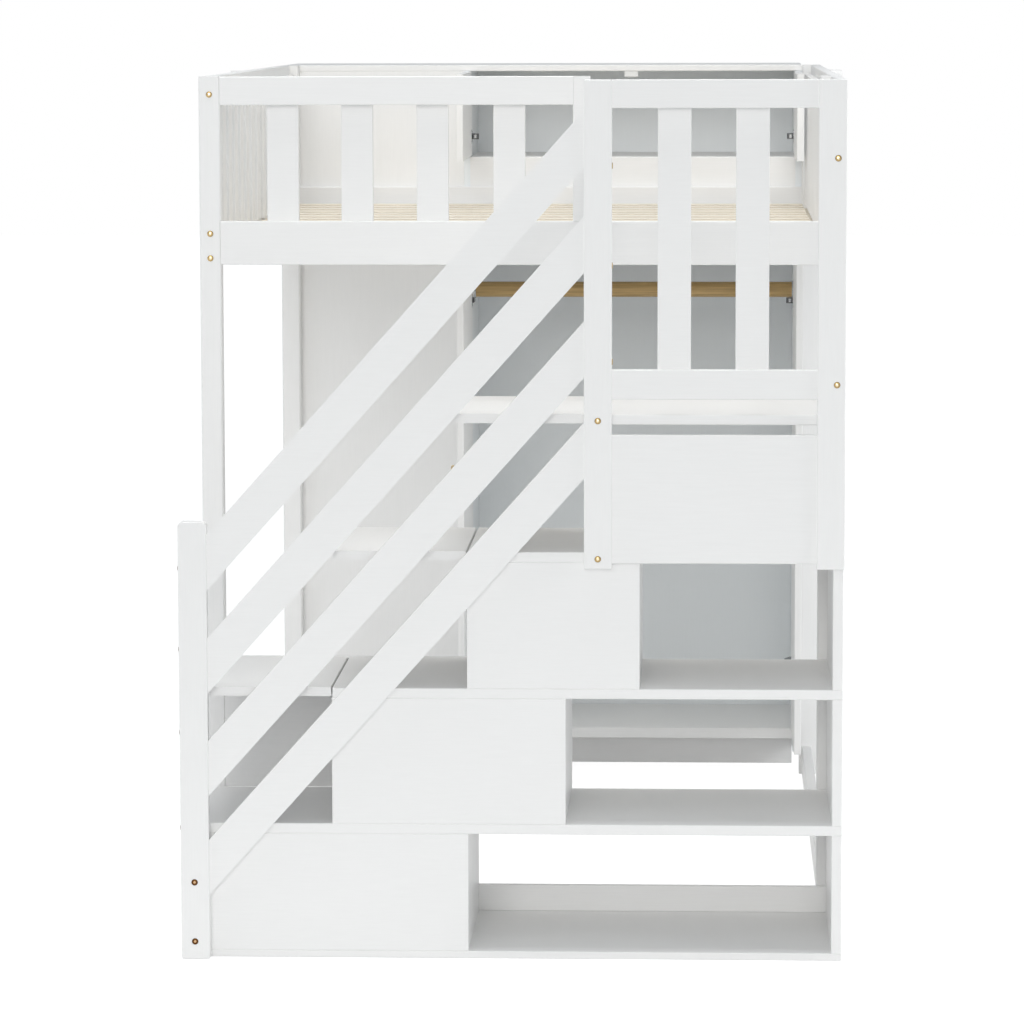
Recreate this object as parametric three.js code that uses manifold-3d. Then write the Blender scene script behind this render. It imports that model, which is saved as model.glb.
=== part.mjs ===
// Loft bed with a step-box stair, a handrail frame and a wardrobe behind its head end.
// Millimetres, +X to the right, +Y away from the stair front, +Z up from the floor.
import * as THREE from "three";
import Module from "manifold-3d";
import { mergeGeometries, mergeVertices } from "three/addons/utils/BufferGeometryUtils.js";

const wasm = await Module();
wasm.setup();

// Driving dimensions of the whole object
const bedWidth = 1448;
const bedLength = 2000;
const totalHeight = 1918;
const stairDepth = 465;
const wardrobeDepth = 440;
const edgeEase = 1.5;
const postEase = 3;
const turnGap = 0.3;

// Bed frame
const postSize = 48;
const railThick = 25;
const railWidth = 98;
const guardRailHeight = 64;
const guardOpening = 262;
const slatWidth = 72;
const slatThick = 18;
const slatLap = 40;
const sideSlatCount = 14;
const frontSlatLefts = [151.5, 320, 491, 664.5];
const guardEndLeft = 845;
const guardEndWidth = 39;
const midPostThick = 29.4;
const midPostWidth = 60;
const floorRailHeight = 76;
const floorRailSetIn = 15;
const mattressDrop = 42;
const bedSlatThick = 15;
const bedSlatWidth = 70;
const bedSlatCount = 14;
const bedSlatEndGap = 62.5;
const ledgeWidth = 48;
const ledgeHeight = 30;
const beamWidth = 40;

// Stair boxes
const treadThick = 22;
const firstTreadTop = 298;
const stepRise = 299.6;
const panelThick = 16;
const floorShelfThick = 16;
const stairLeft = 1;
const stairRightInset = 4;
const secondTreadLeft = 334;
const going = 296;
const thirdTreadLeft = secondTreadLeft + going;
const landingLeft = 893;
const landingDepth = 398;
const lowerBoxRight = 629;
const middleBoxRight = 842;
const upperBoxRight = 1003;
const panelLead = 2;
const middleBackThick = 28;
const endPanelThick = 22;
const stretcherHeight = 60;
const landingPanelThick = 18;
const landingSlot = 20;
const rearLegWidth = 37;

// Handrail frame in front of the boxes
const framePostThick = 29;
const framePostWidth = 60;
const frameRailThick = 22;
const newelLeft = 1;
const newelWidth = 62;
const newelHeight = 964;
const newelRound = 11;
const upperPostLeft = 883;
const rightPostInset = 62.5;
const framePostDrop = 33;
const stairRailWidth = 81;
const stairRailRise = 917;
const stairRailTops = [264, 482.5, 708.5, 935];
const landingRailClear = 35;
const landingLowRailWidth = 64;
const landingTopRailWidth = 61;
const landingSlatPlaces = [0.2215, 0.6011];
const landingSlatThick = 15;
const landingSideSlatCount = 2;

// Lift-up riser flaps
const flapThick = 20;
const flapWidth = 290;
const flapGap = 4.5;
const flapFront = 12;
const flapRearGap = 2;
const flapHingeInset = 60;

// Wardrobe
const wardrobeLeft = 4;
const wardrobeRightInset = 47;
const sideThick = 17.5;
const dividerLeft = 492;
const dividerThick = 16;
const carcassLow = 52;
const topThick = 16;
const carcassHigh = totalHeight - topThick;
const wardrobeFloorLow = 89;
const wardrobeFloorHigh = 117;
const shelfRise = 80;
const fixedPanelDrop = 4;
const plinthSetBack = 128;
const rodDiameter = 42;
const rodDrop = 187.5;
const rodSetBack = 200;
const socketRim = 6;
const socketBase = 3;
const socketDepth = 14;
const catchWidth = 36;
const catchHeight = 16;
const catchDepth = 30;

// Wardrobe doors
const doorThick = 18;
const doorGap = 4;
const doorMeeting = 2;
const hingeInset = 4;
const doorEndGap = 2;
const doorFootGap = 3;
const bottomHingeInset = 180;
const topHingeInset = 203;
const upperHingeInset = 52;
const knobDiameter = 26;
const knobProud = 19;
const knobFoot = 8;
const knobNeck = 5.5;
const knobRise = 63;
const knobFromEdge = 32;

// Concealed hinges
const axisClear = 0.25;
const cupRadius = 17;
const armClear = 0.5;
const cupWall = 0.9;
const cupEdge = 20.5;
const flangeRadius = 19;
const flangeThick = 1.2;
const pinRadius = 1.6;
const bossRadius = 3.6;
const armWidth = 10;
const neckHalf = 2.4;
const armThick = 4;
const armReach = 62;
const plateThick = 1.6;
const plateLength = 36;
const plateWide = 44;
const screwBite = 0.4;
const screwSink = 0.2;
const screwInset = 6;
const armTail = 4;

// Values that follow from the driving dimensions
const stairRight = bedWidth - stairRightInset;
const rightPostLeft = bedWidth - rightPostInset;
const wardrobeRight = bedWidth - wardrobeRightInset;
const guardRailLow = totalHeight - guardRailHeight;
const landingTopRailLow = totalHeight - landingTopRailWidth;
const railHigh = guardRailLow - guardOpening;
const railLow = railHigh - railWidth;
const mattressBase = railHigh - mattressDrop;
const innerLeft = postSize;
const innerRight = bedWidth - postSize;
const upperPostRight = upperPostLeft + framePostWidth;
const rightPostRight = rightPostLeft + framePostWidth;
const treadLefts = [stairLeft, secondTreadLeft, thirdTreadLeft, landingLeft];
const treadTops = treadLefts.map((left, k) => firstTreadTop + k * stepRise);
const framePostLow = treadTops[2] - framePostDrop;
const newelRight = newelLeft + newelWidth;
const stairRailSlope = stairRailRise / (upperPostLeft - newelRight);
const landingLowRailLow = treadTops[3] + landingRailClear;
const landingLowRailHigh = landingLowRailLow + landingLowRailWidth;
const shelfTop = railHigh + shelfRise;
const fixedPanelLow = railLow - fixedPanelDrop;
const rodHeight = fixedPanelLow - rodDrop;
const lowerDoorLow = wardrobeFloorHigh + doorFootGap;
const lowerDoorHigh = fixedPanelLow - doorEndGap;
const lowerDoorMiddle = (lowerDoorLow + lowerDoorHigh) / 2;
const lowerHingeHeights = [lowerDoorLow + bottomHingeInset, lowerDoorMiddle, lowerDoorHigh - topHingeInset];
const knobHeight = lowerDoorMiddle + knobRise;
const upperDoorLow = shelfTop + doorFootGap;
const upperDoorHigh = carcassHigh - doorEndGap;
const upperHingeHeights = [upperDoorLow + upperHingeInset, upperDoorHigh - upperHingeInset];
const dividerRight = dividerLeft + dividerThick;
const openingRight = wardrobeRight - sideThick;
const leftAxisX = dividerRight - hingeInset;
const rightAxisX = openingRight + hingeInset;
const doorWidth = (rightAxisX - leftAxisX + doorThick - doorMeeting) / 2 + axisClear;

// Colours and finishes of the photographed pieces
function finish(color, roughness, metalness) {
  return new THREE.MeshStandardMaterial({ color, roughness, metalness });
}

const whitePaint = finish(0xeceae6, 0.55, 0);
const pine = finish(0xf0e4cd, 0.6, 0);
const brownWood = finish(0x96804f, 0.55, 0);
const brass = finish(0xb88a4a, 0.35, 1);
const steel = finish(0xc8cacc, 0.25, 1);
const whitePlastic = finish(0xf4f4f2, 0.5, 0);

// Shape helpers

// A position-only indexed copy whose faces look outwards.
function plain(geometry) {
  const bare = geometry.clone();
  bare.deleteAttribute("normal");
  bare.deleteAttribute("uv");
  const merged = mergeVertices(bare, 1e-3);
  const place = merged.attributes.position;
  const corners = [0, 1, 2].map(() => new THREE.Vector3());
  const faces = [];
  let volume = 0;
  for (let i = 0; i < merged.index.count; i += 3) {
    const [a, b, c] = [0, 1, 2].map((k) => merged.index.getX(i + k));
    if (a === b || b === c || c === a) continue;
    [a, b, c].forEach((at, k) => corners[k].fromBufferAttribute(place, at));
    volume += corners[0].dot(corners[1].clone().cross(corners[2]));
    faces.push(a, b, c);
  }
  merged.setIndex(volume < 0 ? faces.reverse() : faces);
  return merged;
}

function solidOf(geometry) {
  const shape = plain(geometry);
  return new wasm.Manifold(new wasm.Mesh({
    numProp: 3,
    vertProperties: Float32Array.from(shape.attributes.position.array),
    triVerts: Uint32Array.from(shape.index.array),
  }));
}

function geometryOf(solid) {
  const mesh = solid.getMesh();
  const geometry = new THREE.BufferGeometry();
  geometry.setAttribute("position", new THREE.BufferAttribute(mesh.vertProperties, 3));
  geometry.setIndex(new THREE.BufferAttribute(mesh.triVerts, 1));
  return geometry;
}

function fuse(...geometries) {
  return geometryOf(geometries.map(solidOf).reduce((sum, next) => sum.add(next)));
}

function cut(geometry, ...tools) {
  return geometryOf(tools.map(solidOf).reduce((rest, tool) => rest.subtract(tool), solidOf(geometry)));
}

// Turns a shape built along local z so that it runs along the named axis.
function lay(geometry, grain) {
  const x = new THREE.Vector3(1, 0, 0);
  const y = new THREE.Vector3(0, 1, 0);
  const z = new THREE.Vector3(0, 0, 1);
  const bases = { x: [y, z, x], y: [z, x, y], z: [x, y, z] };
  return geometry.applyMatrix4(new THREE.Matrix4().makeBasis(...bases[grain]));
}

// A straight board between two bounds on each axis, with eased long edges.
function board(xs, ys, zs, grain = "x", ease = edgeEase) {
  const spans = { x: [ys, zs, xs], y: [zs, xs, ys], z: [xs, ys, zs] };
  const [across, through, along] = spans[grain];
  const [u0, u1] = across;
  const [v0, v1] = through;
  const outline = new THREE.Shape();
  outline.moveTo(u0 + ease, v0);
  outline.lineTo(u1 - ease, v0);
  outline.lineTo(u1, v0 + ease);
  outline.lineTo(u1, v1 - ease);
  outline.lineTo(u1 - ease, v1);
  outline.lineTo(u0 + ease, v1);
  outline.lineTo(u0, v1 - ease);
  outline.lineTo(u0, v0 + ease);
  outline.closePath();
  const depth = along[1] - along[0];
  const bar = new THREE.ExtrudeGeometry(outline, { depth, bevelEnabled: false });
  bar.translate(0, 0, along[0]);
  return lay(bar, grain);
}

// A round piece on the z axis from a profile of radius and height.
function turned(profile, steps) {
  const points = profile.map(([radius, height]) => new THREE.Vector2(radius, height));
  return new THREE.LatheGeometry(points, steps).rotateX(Math.PI / 2);
}

// One named mesh, placed by the centre of its own box.
function addPart(group, name, material, ...geometries) {
  const joined = mergeGeometries(geometries.map(plain));
  joined.computeBoundingBox();
  const centre = joined.boundingBox.getCenter(new THREE.Vector3());
  joined.translate(-centre.x, -centre.y, -centre.z);
  const flat = joined.toNonIndexed();
  flat.computeVertexNormals();
  const mesh = new THREE.Mesh(flat, material);
  mesh.name = name;
  mesh.position.copy(centre);
  group.add(mesh);
  return mesh;
}

// Concealed hinge, drawn round its pin: x out of the leaf's inner face, y to the carcass

function cupCentre(leafThick) {
  return leafThick / 2 + axisClear - cupEdge;
}

// The hollow of one pressed cup, open at the leaf's inner face.
function cupHollow(leafThick) {
  const radius = cupRadius - cupWall;
  const depth = leafThick / 2 + bossRadius + armClear;
  const hollow = new THREE.CylinderGeometry(radius, radius, 2 * depth, 20).rotateZ(Math.PI / 2);
  return hollow.translate(leafThick / 2, cupCentre(leafThick), 0);
}

// The cup's round flange, bedded on the leaf's inner face.
function cupFlange(leafThick) {
  const height = flangeThick + screwBite;
  const flange = new THREE.CylinderGeometry(flangeRadius, flangeRadius, height, 20).rotateZ(Math.PI / 2);
  return flange.translate(leafThick / 2 + flangeThick - height / 2, cupCentre(leafThick), 0);
}

// The pin that crosses the cup on the hinge axis.
function hingePin(leafThick) {
  const reach = Math.sqrt((cupRadius - cupWall / 2) ** 2 - cupCentre(leafThick) ** 2);
  return new THREE.CylinderGeometry(pinRadius, pinRadius, 2 * reach, 10).rotateX(Math.PI / 2);
}

// A leaf with its cups, flanges and pins at every seat.
function hingedLeaf(panel, leafThick, seated) {
  const flanged = fuse(panel, ...seated(cupFlange(leafThick)));
  return fuse(cut(flanged, ...seated(cupHollow(leafThick))), ...seated(hingePin(leafThick)));
}

// The cranked arm with the eye round the pin, on its cross-shaped plate with two screws.
function hingeArm(leafThick, faceAt) {
  const inner = Math.max(leafThick / 2 + flangeThick, faceAt) + turnGap;
  const outer = inner + armThick;
  const eyeAngle = Math.asin(neckHalf / bossRadius);
  const outline = new THREE.Shape();
  outline.absarc(0, 0, bossRadius, eyeAngle, 2 * Math.PI - eyeAngle, false);
  outline.lineTo(outer - armThick / 2, -neckHalf);
  outline.lineTo(outer, -neckHalf + armThick / 2);
  outline.lineTo(outer, armReach);
  outline.lineTo(inner, armReach);
  outline.lineTo(inner, neckHalf);
  outline.closePath();
  const eye = new THREE.Path();
  eye.absarc(0, 0, pinRadius + turnGap, 0, 2 * Math.PI, true);
  outline.holes.push(eye);
  const options = { depth: armWidth, bevelEnabled: false, curveSegments: 6 };
  const arm = new THREE.ExtrudeGeometry(outline, options).translate(0, 0, -armWidth / 2);
  const plateEnd = armReach - armTail;
  const plateStart = plateEnd - plateLength;
  const half = plateLength / 4;
  const middle = (plateStart + plateEnd) / 2;
  const bedded = faceAt - screwBite;
  const spine = board([bedded, inner + 1], [plateStart, plateEnd], [-armWidth / 2, armWidth / 2], "y", 0.3);
  const wings = board(
    [bedded, faceAt + plateThick],
    [middle - half, middle + half],
    [-plateWide / 2, plateWide / 2],
    "z",
    0.3,
  );
  const screws = [-1, 1].map((side) => {
    const head = turned([[0, 0], [3.6, 0], [2.6, plateThick], [0, plateThick]], 10);
    head.rotateY(Math.PI / 2);
    return head.translate(faceAt + plateThick - screwSink, middle, side * (plateWide / 2 - screwInset));
  });
  return fuse(arm, spine, wings, ...screws);
}

// Puts a hinge piece at its pin: out is the inner face's direction, back leads to the carcass.
function seatHinge(geometry, out, back, at) {
  const third = new THREE.Vector3().crossVectors(out, back);
  const seat = new THREE.Matrix4().makeBasis(out, back, third).setPosition(...at);
  return geometry.clone().applyMatrix4(seat);
}

// Stair boxes

const toLeft = new THREE.Vector3(-1, 0, 0);
const toRight = new THREE.Vector3(1, 0, 0);
const toRear = new THREE.Vector3(0, 1, 0);
const toFloor = new THREE.Vector3(0, 0, -1);

// The room between one level's board and the next board's underside.
function tierSpan(tier) {
  const low = tier === 0 ? floorShelfThick : treadTops[tier - 1];
  return [low, treadTops[tier] - treadThick];
}

function addFloorShelf(stair) {
  addPart(stair, "floor_shelf", whitePaint,
    board([stairLeft, stairRight], [0, stairDepth], [0, floorShelfThick]));
}

function treadDepth(level) {
  return level === 4 ? landingDepth : stairDepth;
}

function treadBoard(level) {
  const top = treadTops[level - 1];
  return board([treadLefts[level - 1], stairRight], [0, treadDepth(level)], [top - treadThick, top]);
}

// The lowest box: front panel, end wall under the newel and inner wall.
function addLowerBox(stair) {
  const zs = tierSpan(0);
  const depth = [panelThick - screwBite, stairDepth];
  addPart(stair, "lower_box", whitePaint, fuse(
    board([stairLeft, lowerBoxRight], [0, panelThick], zs),
    board([stairLeft, stairLeft + panelThick], depth, zs, "z"),
    board([lowerBoxRight - panelThick, lowerBoxRight], depth, zs, "z"),
  ));
}

// The middle box, whose back panel runs on to the bed's left post.
function addMiddleBox(stair) {
  const zs = tierSpan(1);
  const wallYs = [panelThick - screwBite, stairDepth + screwBite];
  addPart(stair, "middle_box", whitePaint, fuse(
    board([secondTreadLeft - panelLead, middleBoxRight], [0, panelThick], zs),
    board([middleBoxRight - panelThick, middleBoxRight], wallYs, zs, "z"),
    board([innerLeft, middleBoxRight], [stairDepth, stairDepth + middleBackThick], [zs[0], treadTops[1]]),
  ));
}

function addUpperBox(stair) {
  const zs = tierSpan(2);
  const rear = [stairDepth - panelThick, stairDepth];
  addPart(stair, "upper_box", whitePaint, fuse(
    board([thirdTreadLeft - panelLead, upperBoxRight], [0, panelThick], zs),
    board([upperBoxRight - panelThick, upperBoxRight], [panelThick - screwBite, stairDepth], zs, "z"),
    board([thirdTreadLeft, upperBoxRight - panelThick + screwBite], rear, zs),
  ));
}

function addLandingPanel(stair) {
  addPart(stair, "landing_front_panel", whitePaint,
    board([upperPostRight, rightPostLeft], [-landingPanelThick, 0],
      [treadTops[2] - treadThick, tierSpan(3)[1] - landingSlot]));
}

// The end panels under each board at the stair's right-hand side.
function addEndPanels(stair) {
  for (let level = 1; level <= treadLefts.length; level += 1) {
    addPart(stair, `end_panel_${level}`, whitePaint,
      board([stairRight - endPanelThick, stairRight], [0, treadDepth(level)], tierSpan(level - 1), "z"));
  }
}

function addRearMembers(stair) {
  addPart(stair, "rear_stretcher", whitePaint, board(
    [lowerBoxRight, stairRight - endPanelThick],
    [stairDepth - panelThick, stairDepth],
    [floorShelfThick, floorShelfThick + stretcherHeight],
  ));
  addPart(stair, "landing_rear_leg", whitePaint, board(
    [landingLeft, landingLeft + rearLegWidth],
    [landingDepth - endPanelThick, landingDepth],
    tierSpan(3),
    "z",
  ));
}

// A riser flap shown swung up level with its tread, and that tread with the hinge arms.
function addTreadWithFlap(stair, level, treadName) {
  const axisX = treadLefts[level - 1] - flapGap - flapThick / 2 - axisClear;
  const axisZ = treadTops[level - 1] - flapThick / 2;
  const edge = flapThick / 2 + axisClear;
  const rear = stairDepth - flapRearGap;
  const places = [flapFront + flapHingeInset, treadDepth(level) - flapHingeInset];
  const seated = (piece) => places.map((y) => seatHinge(piece, toFloor, toRight, [0, y, 0]));
  const flap = new THREE.Group();
  flap.position.set(axisX, 0, axisZ);
  const panel = board([edge - flapWidth, edge], [flapFront, rear], [-flapThick / 2, flapThick / 2], "y");
  addPart(flap, `riser_flap_${level}`, whitePaint, hingedLeaf(panel, flapThick, seated));
  stair.add(flap);
  const arms = seated(hingeArm(flapThick, treadThick - flapThick / 2));
  arms.forEach((arm) => arm.translate(axisX, 0, axisZ));
  addPart(stair, treadName, whitePaint, fuse(treadBoard(level), ...arms));
}

// Handrail frame

// An upright with rounded top corners, seen from the front.
function uprightPost(left, width, low, high, round) {
  const outline = new THREE.Shape();
  outline.moveTo(left + edgeEase, low);
  outline.lineTo(left + width - edgeEase, low);
  outline.lineTo(left + width, low + edgeEase);
  outline.absarc(left + width - round, high - round, round, 0, Math.PI / 2, false);
  outline.absarc(left + round, high - round, round, Math.PI / 2, Math.PI, false);
  outline.lineTo(left, low + edgeEase);
  outline.closePath();
  const depth = framePostThick - 2 * edgeEase;
  const options = {
    depth,
    curveSegments: 3,
    bevelThickness: edgeEase,
    bevelSize: edgeEase,
    bevelOffset: -edgeEase,
    bevelSegments: 1,
  };
  const post = new THREE.ExtrudeGeometry(outline, options);
  return post.rotateX(Math.PI / 2).translate(0, -edgeEase, 0);
}

// A sloping rail between the newel and the upper post, cut plumb at both ends.
function slopingRail(topAtNewel) {
  const left = newelRight;
  const run = upperPostLeft - left;
  const plumb = stairRailWidth * Math.sqrt(1 + stairRailSlope ** 2);
  const outline = new THREE.Shape();
  outline.moveTo(left, topAtNewel - plumb);
  outline.lineTo(left + run, topAtNewel - plumb + run * stairRailSlope);
  outline.lineTo(left + run, topAtNewel + run * stairRailSlope);
  outline.lineTo(left, topAtNewel);
  outline.closePath();
  const rail = new THREE.ExtrudeGeometry(outline, { depth: frameRailThick, bevelEnabled: false });
  return rail.rotateX(Math.PI / 2);
}

function addHandrailFrame(stair) {
  addPart(stair, "newel_post", whitePaint,
    uprightPost(newelLeft, newelWidth, 0, newelHeight, newelRound));
  addPart(stair, "upper_post", whitePaint,
    uprightPost(upperPostLeft, framePostWidth, framePostLow, totalHeight, 2 * edgeEase));
  addPart(stair, "right_post", whitePaint,
    uprightPost(rightPostLeft, framePostWidth, framePostLow, totalHeight, 2 * edgeEase));
  stairRailTops.forEach((top, k) => {
    addPart(stair, `stair_rail_${k + 1}`, whitePaint, slopingRail(top));
  });
}

// The guards round the landing, their slats let in behind the rails.
function addLandingGuard(stair) {
  const levels = [[landingLowRailLow, landingLowRailHigh], [landingTopRailLow, totalHeight]];
  const zs = [landingLowRailLow + landingSlatThick, totalHeight - landingSlatThick];
  const slatYs = [-screwBite, landingSlatThick];
  const front = levels.map((span) => board([upperPostRight, rightPostLeft], [-frameRailThick, 0], span));
  const clear = rightPostLeft - upperPostRight;
  const frontSlats = landingSlatPlaces.map((place) => {
    const left = upperPostRight + place * clear;
    return board([left, left + slatWidth], slatYs, zs, "z");
  });
  addPart(stair, "landing_front_guard", whitePaint, fuse(...front, ...frontSlats));

  const railXs = [rightPostRight - frameRailThick, rightPostRight];
  const slatXs = [railXs[0] - landingSlatThick, railXs[0] + screwBite];
  const side = levels.map((span) => board(railXs, [0, stairDepth], span, "y"));
  const gap = (stairDepth - landingSideSlatCount * slatWidth) / (landingSideSlatCount + 1);
  const sideSlats = [];
  for (let k = 1; k <= landingSideSlatCount; k += 1) {
    const start = k * gap + (k - 1) * slatWidth;
    sideSlats.push(board(slatXs, [start, start + slatWidth], zs, "z"));
  }
  addPart(stair, "landing_side_guard", whitePaint, fuse(...side, ...sideSlats));
}

// Bed frame, with y = 0 at its front face

function addBedPosts(bed) {
  const columns = { left: [0, postSize], right: [innerRight, bedWidth] };
  const rows = { front: [0, postSize], rear: [bedLength - postSize, bedLength] };
  for (const [row, ys] of Object.entries(rows)) {
    for (const [column, xs] of Object.entries(columns)) {
      addPart(bed, `bed_post_${row}_${column}`, whitePaint, board(xs, ys, [0, totalHeight], "z", postEase));
    }
  }
}

function addBedRails(bed) {
  const zs = [railLow, railHigh];
  const lengthwise = [postSize, bedLength - postSize];
  addPart(bed, "bed_front_rail", whitePaint, board([innerLeft, innerRight], [0, railThick], zs));
  addPart(bed, "bed_rear_rail", whitePaint,
    board([innerLeft, innerRight], [bedLength - railThick, bedLength], zs));
  const sides = { left: [0, 1], right: [bedWidth, -1] };
  for (const [side, [outer, inward]] of Object.entries(sides)) {
    const across = (from, to) => [outer + inward * from, outer + inward * to].sort((a, b) => a - b);
    addPart(bed, `bed_side_rail_${side}`, whitePaint, board(across(0, railThick), lengthwise, zs, "y"));
    addPart(bed, `floor_rail_${side}`, whitePaint,
      board(across(floorRailSetIn, floorRailSetIn + railThick), lengthwise, [0, floorRailHeight], "y"));
  }
}

// The pine slats, screwed down on a ledge at each side and a beam along the middle.
function addSlatBase(bed) {
  const restTop = mattressBase - bedSlatThick;
  const rest = [restTop - ledgeHeight, restTop + screwBite];
  const lengthwise = [postSize, bedLength - postSize];
  const beamLeft = (bedWidth - beamWidth) / 2;
  const supports = [
    board([railThick, railThick + ledgeWidth], lengthwise, rest, "y"),
    board([beamLeft, beamLeft + beamWidth], [railThick, bedLength - railThick], rest, "y"),
    board([bedWidth - railThick - ledgeWidth, bedWidth - railThick], lengthwise, rest, "y"),
  ];
  const first = railThick + bedSlatEndGap;
  const pitch = (bedLength - 2 * first - bedSlatWidth) / (bedSlatCount - 1);
  const slats = [];
  for (let k = 0; k < bedSlatCount; k += 1) {
    const start = first + k * pitch;
    slats.push(board([innerLeft, innerRight], [start, start + bedSlatWidth], [restTop, mattressBase]));
  }
  addPart(bed, "slat_base", pine, fuse(...supports, ...slats));
}

// The guard beside the way in: top rail, end post and slats set behind the rails.
function addFrontGuard(bed) {
  const rail = board([innerLeft, guardEndLeft + screwBite], [0, railThick], [guardRailLow, totalHeight]);
  const post = board([guardEndLeft, guardEndLeft + guardEndWidth], [0, railThick],
    [railHigh, totalHeight], "z");
  const slats = frontSlatLefts.map((left) => board(
    [left, left + slatWidth],
    [railThick, railThick + slatThick],
    [railHigh - slatLap, guardRailLow + slatLap],
    "z",
  ));
  addPart(bed, "front_guard", whitePaint, fuse(rail, post, ...slats));
}

// A guard along one side, with its middle post outside the rails.
function addSideGuards(bed) {
  const lengthwise = [postSize, bedLength - postSize];
  const gap = (lengthwise[1] - lengthwise[0] - sideSlatCount * slatWidth) / (sideSlatCount + 1);
  const middle = [(bedLength - midPostWidth) / 2, (bedLength + midPostWidth) / 2];
  const slatZs = [railHigh - slatLap, guardRailLow + slatLap];
  const sides = { left: [0, 1], right: [bedWidth, -1] };
  for (const [side, [outer, inward]] of Object.entries(sides)) {
    const across = (from, to) => [outer + inward * from, outer + inward * to].sort((a, b) => a - b);
    const pieces = [
      board(across(0, railThick), lengthwise, [guardRailLow, totalHeight], "y"),
      board(across(-midPostThick, 0), middle, [railLow, totalHeight], "z"),
    ];
    for (let k = 0; k < sideSlatCount; k += 1) {
      const start = lengthwise[0] + gap + k * (slatWidth + gap);
      pieces.push(board(across(railThick, railThick + slatThick), [start, start + slatWidth], slatZs, "z"));
    }
    addPart(bed, `side_guard_${side}`, whitePaint, fuse(...pieces));
  }
}

// Wardrobe, with y = 0 at its front face

// The carcass; its divider and right-hand side carry the hinge arms and the rod sockets.
function addCarcass(wardrobe, leftFittings, rightFittings) {
  const backFront = wardrobeDepth - panelThick;
  const leftInner = wardrobeLeft + panelThick;
  const upright = [carcassLow, carcassHigh];
  const onFloor = [wardrobeFloorHigh, carcassHigh];
  addPart(wardrobe, "wardrobe_side_left", whitePaint,
    board([wardrobeLeft, leftInner], [panelThick, backFront], upright, "z"));
  const rightSide = board([openingRight, wardrobeRight], [0, backFront], upright, "z");
  addPart(wardrobe, "wardrobe_side_right", whitePaint, fuse(rightSide, ...rightFittings));
  const divider = board([dividerLeft, dividerRight], [0, backFront], onFloor, "z");
  addPart(wardrobe, "wardrobe_divider", whitePaint, fuse(divider, ...leftFittings));
  addPart(wardrobe, "wardrobe_back", whitePaint,
    board([wardrobeLeft, wardrobeRight], [backFront, wardrobeDepth], upright, "z"));
  addPart(wardrobe, "wardrobe_top", whitePaint,
    board([wardrobeLeft, wardrobeRight], [0, wardrobeDepth], [carcassHigh, totalHeight]));
  addPart(wardrobe, "wardrobe_floor", whitePaint,
    board([leftInner, openingRight], [panelThick, backFront], [wardrobeFloorLow, wardrobeFloorHigh]));
  addPart(wardrobe, "wardrobe_shelf", whitePaint,
    board([dividerRight, openingRight], [panelThick, backFront], [shelfTop - panelThick, shelfTop]));
  addPart(wardrobe, "wardrobe_closed_front", whitePaint,
    board([wardrobeLeft, dividerLeft], [0, panelThick], upright, "z"));
  addPart(wardrobe, "wardrobe_fixed_front", whitePaint,
    board([dividerRight, openingRight], [0, panelThick], [fixedPanelLow, shelfTop]));
  addPart(wardrobe, "wardrobe_kick_edge", whitePaint,
    board([dividerRight, openingRight], [0, panelThick], [wardrobeFloorLow, wardrobeFloorHigh]));
}

function addPlinth(wardrobe) {
  const front = [plinthSetBack, plinthSetBack + panelThick];
  const rear = [wardrobeDepth - 2 * panelThick, wardrobeDepth - panelThick];
  const zs = [0, wardrobeFloorLow];
  const leftInner = wardrobeLeft + panelThick;
  const between = [front[1] - screwBite, rear[0] + screwBite];
  addPart(wardrobe, "wardrobe_plinth", whitePaint, fuse(
    board([leftInner, openingRight], front, zs),
    board([leftInner, openingRight], rear, zs),
    board([leftInner, leftInner + panelThick], between, zs, "y"),
    board([openingRight - panelThick, openingRight], between, zs, "y"),
  ));
}

function addHangingRod(wardrobe) {
  const span = openingRight - dividerRight - 2 * socketBase;
  const rod = new THREE.CylinderGeometry(rodDiameter / 2, rodDiameter / 2, span, 32).rotateZ(Math.PI / 2);
  rod.translate((openingRight + dividerRight) / 2, rodSetBack, rodHeight);
  addPart(wardrobe, "hanging_rod", brownWood, rod);
}

// The round socket that holds one end of the rod, on the wall at its left or right.
function rodSocket(onLeft) {
  const bore = rodDiameter / 2 + turnGap;
  const rim = bore + socketRim;
  const socket = turned([
    [0, -screwBite],
    [rim, -screwBite],
    [rim, socketDepth - edgeEase],
    [rim - edgeEase, socketDepth],
    [bore, socketDepth],
    [bore, socketBase],
    [0, socketBase],
  ], 32);
  socket.rotateY(onLeft ? Math.PI / 2 : -Math.PI / 2);
  return socket.translate(onLeft ? dividerRight : openingRight, rodSetBack, rodHeight);
}

function addCatch(wardrobe) {
  const middle = (dividerLeft + openingRight) / 2 + doorGap;
  addPart(wardrobe, "door_catch", whitePlastic,
    board([middle - catchWidth / 2, middle + catchWidth / 2], [edgeEase, catchDepth],
      [carcassHigh - catchHeight, carcassHigh], "x"));
}

// A round knob on its neck, standing out of the leaf's outer face.
function doorKnob() {
  const radius = knobDiameter / 2;
  return turned([
    [0, 0],
    [knobFoot, 0],
    [knobNeck, knobProud * 0.13],
    [knobNeck, knobProud * 0.32],
    [radius * 0.92, knobProud * 0.5],
    [radius, knobProud * 0.68],
    [radius * 0.8, knobProud * 0.93],
    [0, knobProud],
  ], 16);
}

const doorAxisY = -doorGap - doorThick / 2 - axisClear;
const lowerDoor = { low: lowerDoorLow, high: lowerDoorHigh, hinges: lowerHingeHeights, knob: true };
const upperDoor = { low: upperDoorLow, high: upperDoorHigh, hinges: upperHingeHeights, knob: false };

function seatsOnDoor(onLeft, heights) {
  const inward = onLeft ? toRight : toLeft;
  return (piece) => heights.map((z) => seatHinge(piece, inward, toRear, [0, 0, z]));
}

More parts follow.
